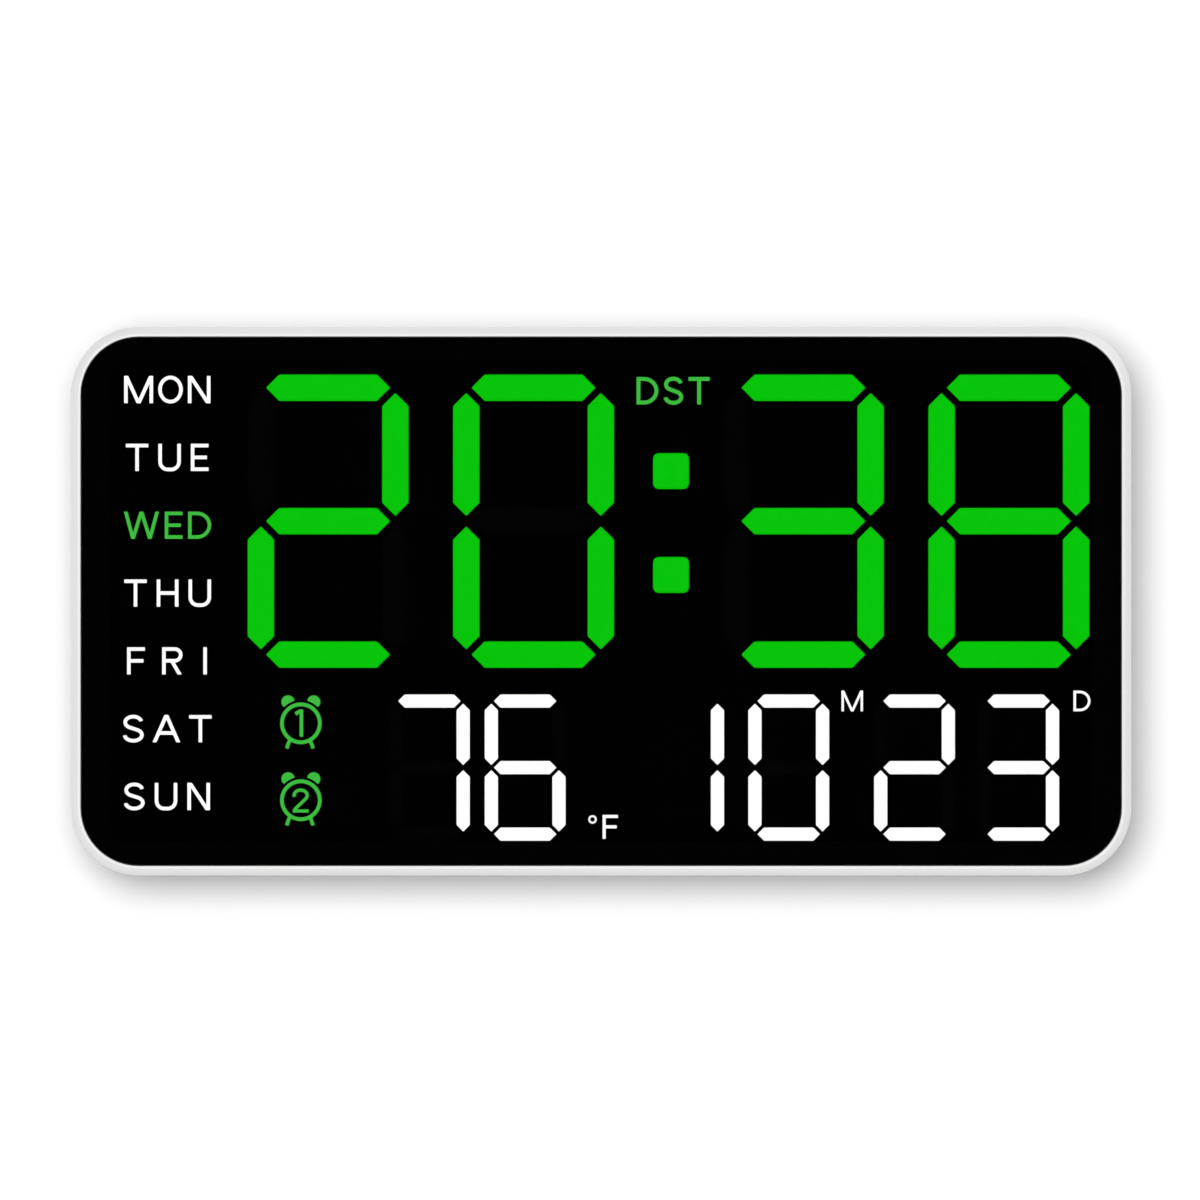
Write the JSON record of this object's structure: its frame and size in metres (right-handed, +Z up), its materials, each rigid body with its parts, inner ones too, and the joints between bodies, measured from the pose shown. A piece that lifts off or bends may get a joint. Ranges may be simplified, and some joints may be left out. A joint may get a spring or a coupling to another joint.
{
  "type": "digital wall clock",
  "caption": "Slim white digital wall and desk clock with a black window, green time digits, weekday column, temperature and date, and a fold-out stand.",
  "frame": {"origin": "middle of the flat underside, midway between front and back", "axes": "+Z up, the display faces -Y, +X to the right as seen from the front"},
  "size_m": [0.29, 0.028, 0.15],
  "materials": {
    "case_white": "satin white moulded plastic with a fine grain",
    "window_dark": "clear smoked acrylic, polished",
    "tape_grey": "foam adhesive tape",
    "mask_black": "black printed film",
    "reflector_white": "white moulded plastic",
    "lit_green": "milky diffuser, lit green",
    "lit_white": "milky diffuser, lit white",
    "segment_off": "smoked diffuser, unlit",
    "diffuser_milky": "milky diffuser",
    "board_green": "solder mask on glass-fibre board",
    "led_body": "moulded lamp body",
    "black_plastic": "black moulded plastic",
    "nickel": "nickel-plated sheet",
    "capacitor_sleeve": "shrink sleeve",
    "probe_resin": "dipped resin bead",
    "plunger_grey": "moulded plastic",
    "button_grey": "satin light-grey moulded plastic",
    "wire_red": "soft wire insulation",
    "screw_steel": "zinc-plated steel"
  },
  "bodies": {
    "case": {"front_frame": "case_white", "rear_cover": "case_white", "front_lens": "window_dark", "lens_tape": "tape_grey", "display_film": "mask_black", "light_box": "reflector_white", "hour_tens_digit": "lit_green", "hour_ones_digit": "lit_green", "minute_tens_digit": "lit_green", "minute_ones_digit": "lit_green", "colon_dots": "lit_green", "temperature_tens_digit": "lit_white", "temperature_ones_digit": "lit_white", "month_tens_digit": "lit_white", "month_ones_digit": "lit_white", "day_tens_digit": "lit_white", "day_ones_digit": "lit_white", "dark_segments": "segment_off", "label_diffusers": "diffuser_milky", "display_board": "board_green", "green_leds": "led_body", "white_leds": "led_body", "controller_chip": "black_plastic", "driver_chips": "black_plastic", "buzzer": "black_plastic", "switch_bodies": "black_plastic", "power_jack": "black_plastic", "clock_crystal": "nickel", "coin_cell": "nickel", "battery_plus_contact": "nickel", "battery_minus_contact": "nickel", "jack_pin": "nickel", "supply_capacitor": "capacitor_sleeve", "thermistor": "probe_resin", "battery_leads": "wire_red", "power_leads": "wire_red", "case_screws": "screw_steel", "module_screws": "screw_steel", "board_screws": "screw_steel"},
    "stand": {"stand_leg": "case_white"},
    "battery_door": {"battery_cap": "case_white"},
    "set_key": {"set_button": "button_grey", "set_plunger": "plunger_grey"},
    "up_key": {"up_button": "button_grey", "up_plunger": "plunger_grey"},
    "down_key": {"down_button": "button_grey", "down_plunger": "plunger_grey"},
    "alarm_key": {"alarm_button": "button_grey", "alarm_plunger": "plunger_grey"},
    "dimmer_key": {"dimmer_button": "button_grey", "dimmer_plunger": "plunger_grey"}
  },
  "joints": [
    {"name": "stand_hinge", "type": "hinge", "parent": "case", "child": "stand", "pos_m": [0, 0.0116, 0.072], "axis": [1, 0, 0], "range_deg": [0, 30]},
    {"name": "battery_cap_turn", "type": "hinge", "parent": "case", "child": "battery_door", "pos_m": [-0.095, 0.0127, 0.042], "axis": [0, 1, 0], "range_deg": [0, 55]},
    {"name": "set_press", "type": "slide", "parent": "case", "child": "set_key", "axis": [0, -1, 0], "range_m": [0, 0.0006], "stiffness_N_per_m": 300},
    {"name": "up_press", "type": "slide", "parent": "case", "child": "up_key", "axis": [0, -1, 0], "range_m": [0, 0.0006], "stiffness_N_per_m": 300},
    {"name": "down_press", "type": "slide", "parent": "case", "child": "down_key", "axis": [0, -1, 0], "range_m": [0, 0.0006], "stiffness_N_per_m": 300},
    {"name": "alarm_press", "type": "slide", "parent": "case", "child": "alarm_key", "axis": [0, -1, 0], "range_m": [0, 0.0006], "stiffness_N_per_m": 300},
    {"name": "dimmer_press", "type": "slide", "parent": "case", "child": "dimmer_key", "axis": [0, -1, 0], "range_m": [0, 0.0006], "stiffness_N_per_m": 300}
  ]
}
